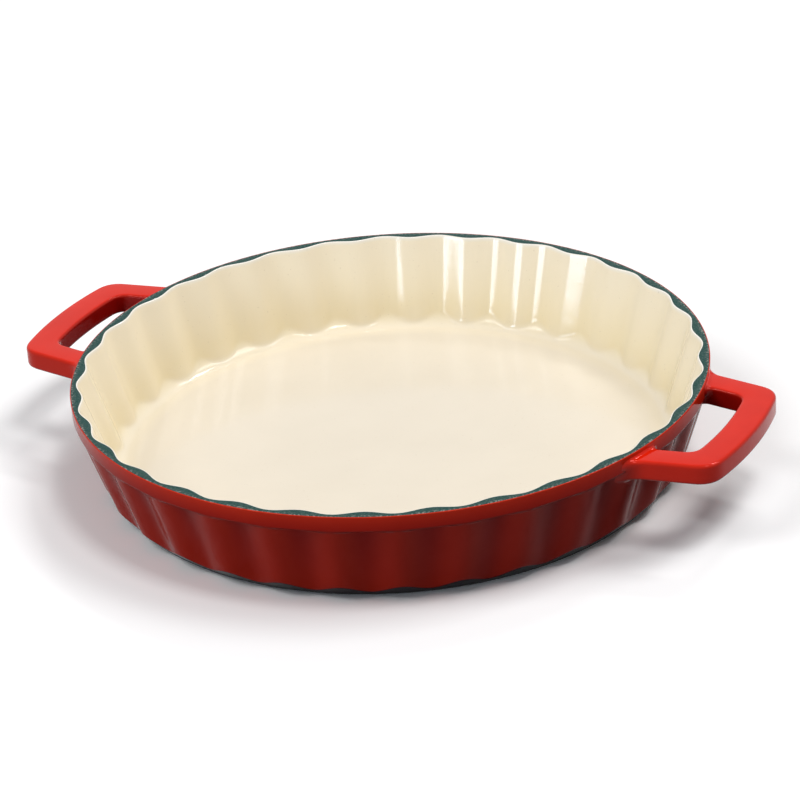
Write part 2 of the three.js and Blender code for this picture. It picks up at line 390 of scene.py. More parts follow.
# %% [markdown]
# ## Foot
# The pan stands on a low turned ring, and the recess inside it keeps the middle of the
# base off the table. The dark ground coat covers it all. A disc with a ring set under it
# would show a seam, so it is one turned dish with soft corners. Nothing here follows the
# flutes.

# %% Foot skin
FOOT_INSIDE = 113.6
FOOT_OUTSIDE = 121.6
FOOT_DRAFT = 0.4  # lean of the ring's sides, so that it leaves the mould
BASE_LEVEL = UNDERSIDE - ENAMEL  # table to the coat inside the ring
COAT_LAP = 0.1  # how far the coat's back reaches into the iron
FOOT_ROOT_REACH = 0.4
FOOT_EDGE_REACH = 0.45
COAT_EDGE_REACH = 0.18
coat_edge = chamfer_radius + ENAMEL / math.sin(CHAMFER_SLOPE)
foot_corners = [
    section_point(INNER_RING, BASE_LEVEL),
    section_point(FOOT_INSIDE, BASE_LEVEL),
    section_point(FOOT_INSIDE + FOOT_DRAFT, 0.0),
    section_point(FOOT_OUTSIDE - FOOT_DRAFT, 0.0),
    section_point(FOOT_OUTSIDE, BASE_LEVEL),
    section_point(coat_edge, BASE_LEVEL),
    section_point(coat_edge, UNDERSIDE),
]
foot_line = softened(foot_corners, (FOOT_ROOT_REACH, FOOT_EDGE_REACH, FOOT_EDGE_REACH,
                                    FOOT_ROOT_REACH, COAT_EDGE_REACH))
foot_line += [section_point(radius, UNDERSIDE + COAT_LAP) for radius in (FOOT_OUTSIDE, INNER_RING)]
foot = dish("foot_skin", foot_line, "foot_coat")

# %% [markdown]
# ## Plan of a handle
# Each handle is a flat loop seen from above: two arms that draw together, a curved grip
# and rounded corners. A curve with a bevelled section would pinch in the corners. So the
# two edges of the loop are drawn first, as plan lines with a normal that points into the
# iron at every station. Half of the loop is enough, as the other half is its mirror.

# %% Sizes of a handle
HANDLE_REACH = 31.2  # finished band to the outer edge of the loop
HANDLE_BAR = 13.8  # width of the grip
ARM_WIDTH = 12.6
ARM_TAPER = math.radians(9.5)  # how the arms draw together
GRIP_HALF_SPAN = 42.5  # middle line to the outer edge of an arm, at the rim
GRIP_CORNER = 8.0  # outer corners of the loop
GAP_CORNER = 5.0  # corners of the finger gap
FINISHED_RIM = RIM_RADIUS + ENAMEL
GRIP_RADIUS = FINISHED_RIM + HANDLE_REACH
GAP_RADIUS = GRIP_RADIUS - HANDLE_BAR
GAP_HALF_SPAN = GRIP_HALF_SPAN - ARM_WIDTH / math.cos(ARM_TAPER)
arm_run = np.array([math.cos(ARM_TAPER), -math.sin(ARM_TAPER)])
print(f"the finger gap is {GAP_RADIUS - FINISHED_RIM:.1f} mm deep at the middle")

# %% Edges of the plan
CORNER_SHARES = np.linspace(0, 1, 11)
GRIP_STATIONS = 15


def arm_crossing(half_span, radius):
    """Where an arm's edge crosses a circle round the axis of the pan."""
    slope = math.tan(ARM_TAPER)
    start = half_span + FINISHED_RIM * slope
    spread = 1 + slope * slope
    x = (start * slope + math.sqrt(spread * radius * radius - start * start)) / spread
    return np.array([x, start - x * slope])


def around_axis(point, distance):
    """Point moved by a distance along its circle round the axis of the pan."""
    radius = np.hypot(*point)
    angle = math.atan2(point[1], point[0]) + distance / radius
    return radius * np.array([math.cos(angle), math.sin(angle)])


def edge_line(half_span, radius, corner, side):
    """Points and normals of one edge, from the start of its corner to the middle of the grip."""
    end = arm_crossing(half_span, radius)
    start, stop = end - arm_run * corner, around_axis(end, -corner)
    points, runs = [], []
    for share in CORNER_SHARES:
        points.append(bend(start, end, stop, share))
        runs.append((1 - share) * (end - start) + share * (stop - end))
    last = math.atan2(stop[1], stop[0])
    for angle in np.linspace(last, 0, GRIP_STATIONS)[1:]:
        points.append(radius * np.array([math.cos(angle), math.sin(angle)]))
        runs.append(np.array([math.sin(angle), -math.cos(angle)]))
    runs = np.array(runs) / np.linalg.norm(runs, axis=1)[:, None]
    normals = np.column_stack([runs[:, 1], -runs[:, 0]]) * side
    return np.array(points), normals


grip_edge, grip_normal = edge_line(GRIP_HALF_SPAN, GRIP_RADIUS, GRIP_CORNER, 1)
gap_edge, gap_normal = edge_line(GAP_HALF_SPAN, GAP_RADIUS, GAP_CORNER, -1)
print(f"handle plan: {len(grip_edge)} stations on half a loop")

# %% [markdown]
# ## Section of a handle
# Across the loop the bar is a flat slab with rounded edges and a hair of crown. A bevelled
# box would need its corners mended where the loop turns. Here the section is a list with
# one row for each point round it: how far it lies from the grip edge to the gap edge, how
# far it is set in, its level and which way it faces.

# %% Sizes across the bar
HANDLE_DROP = 2.6  # top of the rim to the top of the handle
HANDLE_THICKNESS = 9.0
HANDLE_EDGE = 1.4  # rounding of its edges
HANDLE_CROWN = 0.12
SIDE_INSET = 2.8  # top or underside to the nearest row on a side
HANDLE_TOP = PAN_HEIGHT - HANDLE_DROP
HANDLE_BOTTOM = HANDLE_TOP - HANDLE_THICKNESS
SIDE_LEVELS = (HANDLE_TOP - SIDE_INSET, HANDLE_BOTTOM + SIDE_INSET)
EDGE_TURNS = np.radians(np.linspace(0, 90, 8))
FLAT_SHARES = (0.05, 0.3, 0.7, 0.95)
print(f"the bar is {HANDLE_BAR} mm wide, from {HANDLE_BOTTOM:.1f} to {HANDLE_TOP:.1f} mm above the table")

# %% Faces round the bar
GRIP_SIDE, GAP_SIDE = 0.0, 1.0
UP, DOWN = 1.0, -1.0


def facing_of(side):
    """One on the grip side, which faces out of the loop, and minus one on the gap side."""
    return 1 - 2 * side


def rounded_edge(side, turns, way):
    """Rows of a rounded edge on one side of the bar, on its top or its underside."""
    middle = HANDLE_TOP - HANDLE_EDGE if way == UP else HANDLE_BOTTOM + HANDLE_EDGE
    rows = []
    for turn in turns:
        over, rise = math.cos(turn), way * math.sin(turn)
        rows.append((side, HANDLE_EDGE * (1 - over), middle + HANDLE_EDGE * rise,
                     facing_of(side) * over, rise))
    return rows


def flat_face(shares, level, way):
    """Rows of the top or the underside, with its crown."""
    return [(share, HANDLE_EDGE, level + way * HANDLE_CROWN * crowned(share), 0.0, way)
            for share in shares]


def upright_face(side, levels):
    """Rows of one side, between its two rounded edges."""
    return [(side, 0.0, level, facing_of(side), 0.0) for level in levels]


print(f"a rounded edge has {len(rounded_edge(GRIP_SIDE, EDGE_TURNS, UP))} rows")

# %% Handle section
section = rounded_edge(GRIP_SIDE, EDGE_TURNS, UP)
section += flat_face(FLAT_SHARES, HANDLE_TOP, UP)
section += rounded_edge(GAP_SIDE, EDGE_TURNS[::-1], UP)
section += upright_face(GAP_SIDE, SIDE_LEVELS)
section += rounded_edge(GAP_SIDE, EDGE_TURNS, DOWN)
section += flat_face(FLAT_SHARES[::-1], HANDLE_BOTTOM, DOWN)
section += rounded_edge(GRIP_SIDE, EDGE_TURNS[::-1], DOWN)
section += upright_face(GRIP_SIDE, SIDE_LEVELS[::-1])
across, inset, level, facing, upward = np.array(section).T
print(f"handle section: {len(section)} points round the bar")

# %% [markdown]
# ## Roots of a handle
# Where an arm meets the wall the iron sweeps out on all four sides, as a fillet in the
# mould does. Each point of the section slides along its arm to the wall, and a soft curve
# carries it from the arm round onto the wall, a hair under the red skin so that no gap
# shows. A boolean union would leave a hard line there instead.

# %% From the arm to the wall
SLIDE_ROUNDS = 30


def wall_radius(angle, height):
    """Finished outside of the wall and the band at an angle and a level."""
    fluted = iron_outside(angle, height) + ENAMEL * ACROSS_WALL
    ledge = np.clip((height - (FLUTE_TOP - ENAMEL)) / BAND_LEDGE, 0, 1)
    return fluted + (FINISHED_RIM - fluted) * ledge


def slide_to_wall(plan):
    """Slides each section point along the arm until it lies on the wall."""
    slid = plan.copy()
    for _ in range(SLIDE_ROUNDS):
        radius = np.hypot(*slid.T)
        angle = np.arctan2(slid[:, 1], slid[:, 0])
        slid += np.outer(wall_radius(angle, level) - radius, arm_run)
    return slid


def section_at(station):
    """Section points in plan at one station of the half loop."""
    grip = grip_edge[station] + grip_normal[station] * inset[:, None]
    gap = gap_edge[station] + gap_normal[station] * inset[:, None]
    return grip + (gap - grip) * across[:, None]


arm_end = section_at(0)
root = slide_to_wall(arm_end)
print(f"handle roots: points slide {np.hypot(*(arm_end - root).T).mean():.1f} mm to the wall")

# %% Sweep of the roots
GRIP_FLARE = 7.0  # sweep of an arm into the wall on its outer side
GAP_FLARE = 5.5  # the same on the side of the finger gap
TOP_FLARE = 1.5
BOTTOM_FLARE = 3.0
ROOT_SINK = 0.12  # how far a root ends under the red skin
side_flare = np.where(facing > 0, GRIP_FLARE, GAP_FLARE)
rise_flare = np.where(upward > 0, TOP_FLARE, BOTTOM_FLARE)
root_level = level + rise_flare * upward
root_angle = np.arctan2(root[:, 1], root[:, 0]) + side_flare * facing / FINISHED_RIM
root_radius = wall_radius(root_angle, root_level) - ROOT_SINK
on_wall = np.column_stack([root_radius * np.cos(root_angle), root_radius * np.sin(root_angle)])
sweep = side_flare * np.abs(facing) + rise_flare * np.abs(upward)
on_arm = root + np.outer(sweep, arm_run)
print(f"the sweeps leave the arms {sweep.min():.1f} to {sweep.max():.1f} mm from the wall")

# %% Loops along a handle
ROOT_SHARES = np.linspace(0, 1, 13)
ARM_SHARES = (0.05, 0.35, 0.65, 0.95)


def in_space(plan, height):
    return np.column_stack([plan, height])


wall_end = in_space(on_wall, root_level)
root_corner = in_space(root, level)
sweep_end = in_space(on_arm, level)
half_loops = [bend(wall_end, root_corner, sweep_end, share) for share in ROOT_SHARES]
half_loops += [in_space(on_arm + (arm_end - on_arm) * share, level) for share in ARM_SHARES]
half_loops += [in_space(section_at(station), level) for station in range(len(grip_edge))]
mirror = np.array([1.0, -1.0, 1.0])
loops = half_loops + [loop * mirror for loop in half_loops[-2::-1]]
print(f"a handle is {len(loops)} loops of {len(section)} points")


# %% Handle skins
def handle_faces(count, size):
    """Faces of a bar of stacked loops, with a fan of faces closing each end."""
    faces, ends = [], (count * size, count * size + 1)
    for loop in range(count - 1):
        for point in range(size):
            after = (point + 1) % size
            low, high = loop * size, (loop + 1) * size
            faces.append([low + after, low + point, high + point, high + after])
    for point in range(size):
        after, last = (point + 1) % size, (count - 1) * size
        faces.append([ends[0], point, after])
        faces.append([ends[1], last + after, last + point])
    return faces


def handle(name, side, node):
    """Handle on the right for a side of one, or turned to the left for minus one."""
    caps = [loops[0].mean(0), loops[-1].mean(0)]
    points = np.vstack(loops + [caps]) * np.array([side, side, 1.0])
    return made_piece(name, points, handle_faces(len(loops), len(section)), node)


right_handle = handle("right_handle_skin", 1.0, "right_handle_coat")
left_handle = handle("left_handle_skin", -1.0, "left_handle_coat")

# %% [markdown]
# ## Where the glass is thin, and where shade and light are painted
# A melted coat draws back from sharp edges, so the red is a shade darker there. Shade is
# painted into the red: deeper on the wall and deepest in the hollows of the flutes, deeper
# toward the lower edge of the band and inside the loops of the handles, and near black on the
# chamfer at the foot, where the red also runs out into the dark ground coat. Light and shade
# are painted into the cream: lighter and yellower on the wall than on the floor, yellowest at
# the feet of the pillars, and palest on the lip as a painted highlight. The land has a ragged
# outer edge. The finishes need to know where all that is. Painting a mask by hand would not
# follow the flutes, so each skin stores numbers for its points, worked out from the same rule
# that shaped it.

# %% Marks on the handles
def mark(piece, name, values):
    """Stores a number for each point, for a finish to read. Points past the last value get none."""
    numbers = np.zeros(len(piece.data.vertices), np.float32)
    numbers[:values.size] = values.ravel()
    attribute = piece.data.attributes.new(name, "FLOAT", "POINT")
    attribute.data.foreach_set("value", numbers)


# Facing times upward is a half at most, midway round an edge, so this goes from none to one.
on_edge = 4 * (facing * upward) ** 2
# Painted shade: the faces inside the loop, on the side of the finger gap, are painted a deeper red.
inside = np.clip(-facing, 0, 1) ** 2
for piece in (right_handle, left_handle):
    mark(piece, "thin_glass", np.tile(on_edge, len(loops)))
    mark(piece, "painted_light_and_shade", np.tile(inside, len(loops)))
print(f"handles: {np.mean(inside > 0.5):.0%} of the points round the bar are inside the loop")

# %% Marks on the red wall
THIN_EDGE = 0.5  # how far from an edge the glass is thin
RIDGE_SHADE = 0.5  # painted shade on a ridge, against that in a hollow
BAND_FOOT_SHADE = 0.9  # painted shade at the foot of the band
BAND_SHADE_CURVE = 0.7
FOOT_BLEND = 0.5  # height over which the red runs out and the chamfer's painted shade comes in
radius, height = np.array(front_rows).transpose(1, 0, 2)
near_top = np.exp(-((height - PAN_HEIGHT) / THIN_EDGE) ** 2)
near_band_foot = np.exp(-((height - (BAND_LEVEL - ENAMEL)) / THIN_EDGE) ** 2)
mark(red_wall, "thin_glass", np.maximum(near_top, near_band_foot * (radius > RIM_RADIUS)))
climb = np.clip((height - UNDERSIDE) / (FLUTE_TOP - UNDERSIDE), 0, 1)
# Painted shade: the fluted wall is painted a deeper red, half of it on the ridges and most in the hollows
# toward the band.
hollow_shade = RIDGE_SHADE + (1 - RIDGE_SHADE) * (dip / FLUTE_DEPTH) ** 2 * climb
# Painted shade: the band is painted deeper red toward its lower edge.
band_shade = BAND_FOOT_SHADE * np.clip((PAN_HEIGHT - height) / BAND_HEIGHT, 0, 1) ** BAND_SHADE_CURVE
mark(red_wall, "painted_light_and_shade", np.where(height < FLUTE_TOP, hollow_shade, band_shade))
# Painted shade: the chamfer at the foot is painted near black, and the red also runs out into the ground
# coat there.
mark(red_wall, "chamfer_shade_and_run_out", np.clip((chamfer_top - height) / FOOT_BLEND + 0.5, 0, 1))
# The range printed here is that of the painted shade on the fluted wall.
print(f"red wall: glass in the hollows {hollow_shade.min():.2f} to {hollow_shade.max():.2f}")

# %% Marks on the lining and the land
CREASE_START = 7.0  # the painted light of the wall starts this far before the turned corner
CREASE_BLEND = 16.0  # and is full after this width
WALL_FOOT = 1.0  # the painted shade of the feet starts this far above the iron floor
WALL_BLEND = 5.0  # and is full after this height
FEET_SHADE_PEAK = 1.15  # more than one, so that it stays full a little way up
FOOT_FADE = 30.0  # height over which the painted shade fades up the wall
FADE_CURVE = 1.5
LIP_DEPTH = 0.9  # the painted highlight of the lip starts this far below the rim
LIP_BLEND = 0.6
RAGGED_ROWS = (1.0, 1.0, 0.25)  # on the outermost rings of the land
radius, height = np.array(lining_rows).transpose(1, 0, 2)
upon_wall = np.clip((height - FLOOR_LEVEL - WALL_FOOT) / WALL_BLEND, 0, 1)
# Painted shade: darker and yellower at the feet of the pillars, fading up the wall.
shade_at_feet = np.clip(FEET_SHADE_PEAK - (height - foot_corner[1]) / FOOT_FADE, 0, 1) ** FADE_CURVE
# Painted light and shade: the cream is painted lighter and yellower on the wall and at the edge of the
# floor beside it.
mark(lining, "painted_light_and_shade", np.clip((radius - fillet_radius + CREASE_START) / CREASE_BLEND, 0, 1))
mark(lining, "painted_feet_shade", shade_at_feet * upon_wall)
# Painted highlight: the lip is painted paler.
mark(lining, "painted_lip_highlight", np.clip((height - PAN_HEIGHT + LIP_DEPTH) / LIP_BLEND, 0, 1))
mark(rim_land, "ragged_edge", np.repeat(RAGGED_ROWS, COLUMNS))
print(f"marks stored on {len(lining_rows)} rings of the lining and {len(RAGGED_ROWS)} of the land")

# %% [markdown]
# ## Building blocks for the finishes
# Every finish is made of nodes, so it has no picture to stretch and stays sharp from any
# side. A few small blocks are enough: a grain, a scale of tones, a range of numbers, a
# relief, and a tint that follows a stored mark. Object coordinates keep a grain fixed to
# its piece. The owner of a block is a finish, or the room further on.

# %% New finishes
def new_finish(name, **sockets):
    """Material with one glossy shader, whose plain sockets are set directly."""
    finish = bpy.data.materials.new(name)
    finish.use_nodes = True
    shader = finish.node_tree.nodes["Principled BSDF"]
    for socket, value in sockets.items():
        shader.inputs[socket.replace("_", " ")].default_value = value
    return finish, shader


def join(owner, source, target):
    owner.node_tree.links.new(source, target)


def dress(finish, shader, tone, roughness, surface):
    """Joins a colour, a roughness and a relief to the shader of a finish."""
    join(finish, tone, shader.inputs["Base Color"])
    join(finish, roughness, shader.inputs["Roughness"])
    join(finish, surface, shader.inputs["Normal"])


def coat_with(finish, *pieces):
    for piece in pieces:
        piece.data.materials.clear()
        piece.data.materials.append(finish)
    print(f"{finish.name}: {len(finish.node_tree.nodes)} nodes on {len(pieces)} piece(s)")


print(f"{len(bpy.data.materials)} materials before the first finish")


# %% Grains and tones
GRAIN_LOW, GRAIN_HIGH = 0.3, 0.7  # most of a grain lies between these


def grain(finish, size, detail):
    """Cloudy grain whose patches are about that many millimetres across."""
    nodes = finish.node_tree.nodes
    place = nodes.new("ShaderNodeTexCoord")
    noise = nodes.new("ShaderNodeTexNoise")
    noise.inputs["Scale"].default_value = 1 / (size * MILLIMETRE)
    noise.inputs["Detail"].default_value = detail
    join(finish, place.outputs["Object"], noise.inputs["Vector"])
    return noise.outputs["Fac"]


def tones(owner, factor, *stops):
    """Colours along a factor. Each stop is a place and a colour in linear light."""
    ramp = owner.node_tree.nodes.new("ShaderNodeValToRGB")
    while len(ramp.color_ramp.elements) < len(stops):
        ramp.color_ramp.elements.new(0.5)
    for element, (place, colour) in zip(ramp.color_ramp.elements, stops):
        element.position = place
        element.color = (*colour, 1.0)
    join(owner, factor, ramp.inputs["Fac"])
    return ramp.outputs["Color"]


def span(finish, factor, low, high, start=GRAIN_LOW, stop=GRAIN_HIGH):
    """Numbers from low to high, as the factor goes from start to stop."""
    reach = finish.node_tree.nodes.new("ShaderNodeMapRange")
    ends = {"From Min": start, "From Max": stop, "To Min": low, "To Max": high}
    for socket, value in ends.items():
        reach.inputs[socket].default_value = value
    join(finish, factor, reach.inputs["Value"])
    return reach.outputs["Result"]


print(f"a grain of 1 mm has a scale of {1 / MILLIMETRE:.0f}")


# %% Reliefs, marks and tints
def relief(finish, height, depth, below=None):
    """Bump of that many millimetres, over another one where given."""
    bump = finish.node_tree.nodes.new("ShaderNodeBump")
    bump.inputs["Strength"].default_value = 1.0
    bump.inputs["Distance"].default_value = depth * MILLIMETRE
    join(finish, height, bump.inputs["Height"])
    if below is not None:
        join(finish, below, bump.inputs["Normal"])
    return bump.outputs["Normal"]


def stored(finish, name):
    """A mark that the piece under the finish carries."""
    node = finish.node_tree.nodes.new("ShaderNodeAttribute")
    node.attribute_name = name
    return node.outputs["Fac"]


def combined(owner, operation, first, second):
    """Two numbers added or multiplied."""
    node = owner.node_tree.nodes.new("ShaderNodeMath")
    node.operation = operation
    join(owner, first, node.inputs[0])
    join(owner, second, node.inputs[1])
    return node.outputs[0]


def tinted(finish, base, tint, mask, share):
    """Colour that goes over to a tint where the mask says, by at most the share given."""
    mix = finish.node_tree.nodes.new("ShaderNodeMix")
    mix.data_type = "RGBA"
    join(finish, span(finish, mask, low=0.0, high=share, start=0.0, stop=1.0), mix.inputs["Factor"])
    join(finish, base, mix.inputs["A"])
    mix.inputs["B"].default_value = (*tint, 1.0)
    return mix.outputs["Result"]


lining_marks = [entry.name for entry in lining.data.attributes if entry.data_type == "FLOAT"]
print("marks on the lining:", ", ".join(lining_marks))

# %% [markdown]
# ## Red enamel
# The red is a smooth glass. Shade is painted into its colour: it is left brightest on top of
# the handles and along the upper edge of the band, painted deeper on the wall, toward the
# lower edge of the band and inside the loops, and deepest in the hollows of the flutes. It is
# a shade darker on thin edges. At the foot the chamfer is painted near black as shade, where
# the red also runs out into the dark ground coat. A strong gloss would lay the white of the
# floor over the wall like milk, so the glass there is given a low refraction and a small share
# of metal, whose mirror images are red. The handles carry a little more gloss, which draws fine
# lights along their edges and corners. Two sizes of relief give it all the faint waviness of
# melted glass.

# %% Reds
WALL_REFRACTION = 1.12
HANDLE_REFRACTION = 1.20
METAL_SHARE = 0.05
WALL_REDS = ((0.3, (0.62, 0.026, 0.007)), (0.5, (0.66, 0.029, 0.008)), (0.7, (0.70, 0.032, 0.009)))
HANDLE_REDS = ((0.3, (0.62, 0.012, 0.002)), (0.5, (0.66, 0.014, 0.002)), (0.7, (0.70, 0.016, 0.003)))
# Tint of painted shade for the wall, the band and the insides of the handle loops.
PAINTED_SHADE_RED = (0.30, 0.004, 0.0025)
THIN_RED = (0.40, 0.022, 0.010)
# Near black for the painted shade on the chamfer, where the red runs out into the ground coat.
CHAMFER_SHADE_RED = (0.022, 0.005, 0.008)
print(f"{len(WALL_REDS)} tones of red on the wall and {len(HANDLE_REDS)} on the handles")


# %% Red enamel
def red_glass(name, refraction, reds):
    """Red finish with a gloss and tones of its own, with painted shade where the marks of its piece say.
    """
    red, shader = new_finish(name, IOR=refraction, Metallic=METAL_SHARE)
    tone = tones(red, grain(red, size=22, detail=3.0), *reds)
    # Painted shade, where the piece's mark says.
    tone = tinted(red, tone, PAINTED_SHADE_RED, stored(red, "painted_light_and_shade"), share=0.9)
    tone = tinted(red, tone, THIN_RED, stored(red, "thin_glass"), share=0.3)
    # Painted shade on the chamfer at the foot.
    tone = tinted(red, tone, CHAMFER_SHADE_RED, stored(red, "chamfer_shade_and_run_out"), share=1.0)
    roughness = span(red, grain(red, size=3.0, detail=4.0), low=0.05, high=0.09)
    wavy = relief(red, grain(red, size=6.0, detail=1.0), depth=0.03)
    surface = relief(red, grain(red, size=1.4, detail=2.0), depth=0.004, below=wavy)
    dress(red, shader, tone, roughness, surface)
    return red


coat_with(red_glass("red_enamel", WALL_REFRACTION, WALL_REDS), red_wall)
handle_red = red_glass("red_handle_enamel", HANDLE_REFRACTION, HANDLE_REDS)
coat_with(handle_red, right_handle, left_handle)

# %% [markdown]
# ## Cream enamel
# The lining is a warm cream glass with very faint clouds and a few pin-prick specks. Light and
# shade are painted into it: it is painted lighter and yellower on the wall than on the floor,
# yellowest at the feet of the pillars as painted shade, and palest on the lip as a painted
# highlight. A ramp by height could carry those changes, but the stored marks follow the flutes
# as well.

# %% Cream enamel
CREAM_REFRACTION = 1.38
FLOOR_CREAMS = ((0.3, (0.755, 0.68, 0.56)), (0.7, (0.775, 0.70, 0.58)))
# Painted light and shade: the wall's cream is lighter and yellower than the floor's.
PAINTED_LIGHT_WALL_CREAM = (0.94, 0.84, 0.645)
# Painted shade at the feet of the pillars.
FEET_SHADE_CREAM = (0.88, 0.76, 0.51)
# Painted highlight along the lip.
LIP_HIGHLIGHT_CREAM = (0.93, 0.90, 0.84)
SPECK_BROWN = (0.55, 0.44, 0.30)
cream, cream_shader = new_finish("cream_enamel", IOR=CREAM_REFRACTION)
cream_tone = tones(cream, grain(cream, size=30, detail=3.0), *FLOOR_CREAMS)
# Painted light and shade on the wall, painted shade at the feet of the pillars, and a painted highlight
# on the lip.
cream_tone = tinted(cream, cream_tone, PAINTED_LIGHT_WALL_CREAM, stored(cream, "painted_light_and_shade"), share=1.0)
cream_tone = tinted(cream, cream_tone, FEET_SHADE_CREAM, stored(cream, "painted_feet_shade"), share=1.0)
cream_tone = tinted(cream, cream_tone, LIP_HIGHLIGHT_CREAM, stored(cream, "painted_lip_highlight"), share=0.8)
speck_grain = grain(cream, size=0.9, detail=0.0)
specks = span(cream, speck_grain, low=0.0, high=1.0, start=0.79, stop=0.86)
cream_tone = tinted(cream, cream_tone, SPECK_BROWN, specks, share=0.25)
cream_roughness = span(cream, grain(cream, size=4.0, detail=4.0), low=0.08, high=0.12)
cream_wavy = relief(cream, grain(cream, size=7.0, detail=1.0), depth=0.03)
cream_surface = relief(cream, grain(cream, size=1.6, detail=2.0), depth=0.004, below=cream_wavy)
dress(cream, cream_shader, cream_tone, cream_roughness, cream_surface)
coat_with(cream, lining)

# %% [markdown]
# ## Dark ground coat of the rim
# The ground coat is a matt, slightly rough glass, dark green with a grey grain of less
# than a millimetre. It is duller than the colours because it is fired without a top coat.
# Pale broken specks along the outer edge show where the red coat ends. They could be
# modelled as chips, but a grain breaks them up without more faces, and no two stretches of
# the rim are alike.

# %% Rim ground coat
GROUND_REFRACTION = 1.2
GROUND_GREENS = ((0.32, (0.004, 0.040, 0.034)), (0.5, (0.014, 0.056, 0.049)),
                 (0.72, (0.06, 0.10, 0.09)))
EDGE_PALE = (0.42, 0.38, 0.34)
ground, ground_shader = new_finish("rim_ground_coat", IOR=GROUND_REFRACTION)
ground_tone = tones(ground, grain(ground, size=0.7, detail=3.0), *GROUND_GREENS)
edge_grain = grain(ground, size=0.8, detail=2.0)
broken = span(ground, edge_grain, low=0.0, high=1.0, start=0.52, stop=0.62)
ragged = combined(ground, "MULTIPLY", stored(ground, "ragged_edge"), broken)
ground_tone = tinted(ground, ground_tone, EDGE_PALE, ragged, share=0.6)
ground_roughness = span(ground, grain(ground, size=1.2, detail=3.0), low=0.42, high=0.62)
ground_surface = relief(ground, grain(ground, size=0.6, detail=3.0), depth=0.02)
dress(ground, ground_shader, ground_tone, ground_roughness, ground_surface)
coat_with(ground, rim_land)

# %% [markdown]
# ## Dark ground coat of the foot
# Under the pan the same sort of glass is thicker, nearly black and satin, with a coarser
# orange-peel surface and paler rub marks in it. The finish of the rim could be used again,
# but its fine green grain would look wrong here, so the foot has one of its own.

# %% Foot ground coat
FOOT_REFRACTION = 1.5
FOOT_BLACKS = ((0.3, (0.010, 0.013, 0.013)), (0.6, (0.018, 0.022, 0.022)),
               (0.8, (0.05, 0.055, 0.053)))
base_coat, base_shader = new_finish("foot_ground_coat", IOR=FOOT_REFRACTION)
base_tone = tones(base_coat, grain(base_coat, size=1.1, detail=4.0), *FOOT_BLACKS)
base_roughness = span(base_coat, grain(base_coat, size=5.0, detail=4.0), low=0.3, high=0.55)
base_surface = relief(base_coat, grain(base_coat, size=2.0, detail=2.0), depth=0.03)
dress(base_coat, base_shader, base_tone, base_roughness, base_surface)
coat_with(base_coat, foot)

# %% [markdown]
# ## Bare iron
# The core is covered all round, so it would show only where a coat is chipped. A plain grey
# would do for that, but the core may also be shown alone, so it gets the look of grey iron
# from a sand mould: dark, rough and grainy.

# %% Bare iron
IRON_METAL = 0.8
IRON_GREYS = ((0.35, (0.045, 0.043, 0.042)), (0.65, (0.09, 0.088, 0.086)))
iron, iron_shader = new_finish("grey_iron", Metallic=IRON_METAL)
iron_tone = tones(iron, grain(iron, size=0.8, detail=4.0), *IRON_GREYS)
iron_roughness = span(iron, grain(iron, size=2.0, detail=3.0), low=0.55, high=0.8)
iron_surface = relief(iron, grain(iron, size=0.6, detail=3.0), depth=0.08)
dress(iron, iron_shader, iron_tone, iron_roughness, iron_surface)
coat_with(iron, iron_core)

# %% [markdown]
# ## Floor
# The pan stands on white paper. A disc is enough, because the room behind its edge is
# white as well. It is matt and keeps the pan's own shadow. To the eye and in mirror images
# the paper is white, but it throws little light back, or the underside of the red wall
# would glow. The Light Path node tells those rays apart.

# %% Floor
FLOOR_RADIUS = 1.3
FLOOR_SIDES = 96
FLOOR_DROP = 0.0001
floor_angle = np.arange(FLOOR_SIDES) * math.tau / FLOOR_SIDES
floor_ring = np.column_stack([np.cos(floor_angle), np.sin(floor_angle), np.zeros(FLOOR_SIDES)])
floor_mesh = bpy.data.meshes.new("floor")
floor_mesh.from_pydata((floor_ring * FLOOR_RADIUS).tolist(), [], [list(range(FLOOR_SIDES))])
floor = bpy.data.objects.new("floor", floor_mesh)
floor.location.z = -FLOOR_DROP
bpy.context.scene.collection.objects.link(floor)
floor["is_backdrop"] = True
print(f"floor: a disc {2 * FLOOR_RADIUS} m across")

# %% White paper
FLOOR_BOUNCE = 0.02
PAPER_WHITE = 0.98


def looked_at(owner):
    """One for a ray that looks at a thing or mirrors it, none for a ray that carries its light."""
    path = owner.node_tree.nodes.new("ShaderNodeLightPath")
    looks = path.outputs["Is Camera Ray"]
    for ray in ("Is Glossy Ray", "Is Transmission Ray"):
        looks = combined(owner, "ADD", looks, path.outputs[ray])
    return looks


def grey(value):
    return (value, value, value)


paper, paper_shader = new_finish("white_paper", Roughness=0.9, Specular_IOR_Level=0.0)
white = tones(paper, looked_at(paper), (0.0, grey(FLOOR_BOUNCE)), (1.0, grey(PAPER_WHITE)))
join(paper, white, paper_shader.inputs["Base Color"])
coat_with(paper, floor)

# %% [markdown]
# ## Camera
# The camera stands a metre and a half away with a long lens, nearly 27 degrees above the
# pan and to the right of its front. The frame leans by four degrees, and the pan sits
# close to its middle. A constraint could aim it, but a lean needs its own turn, so the
# directions to the right, up and back are worked out and set together.

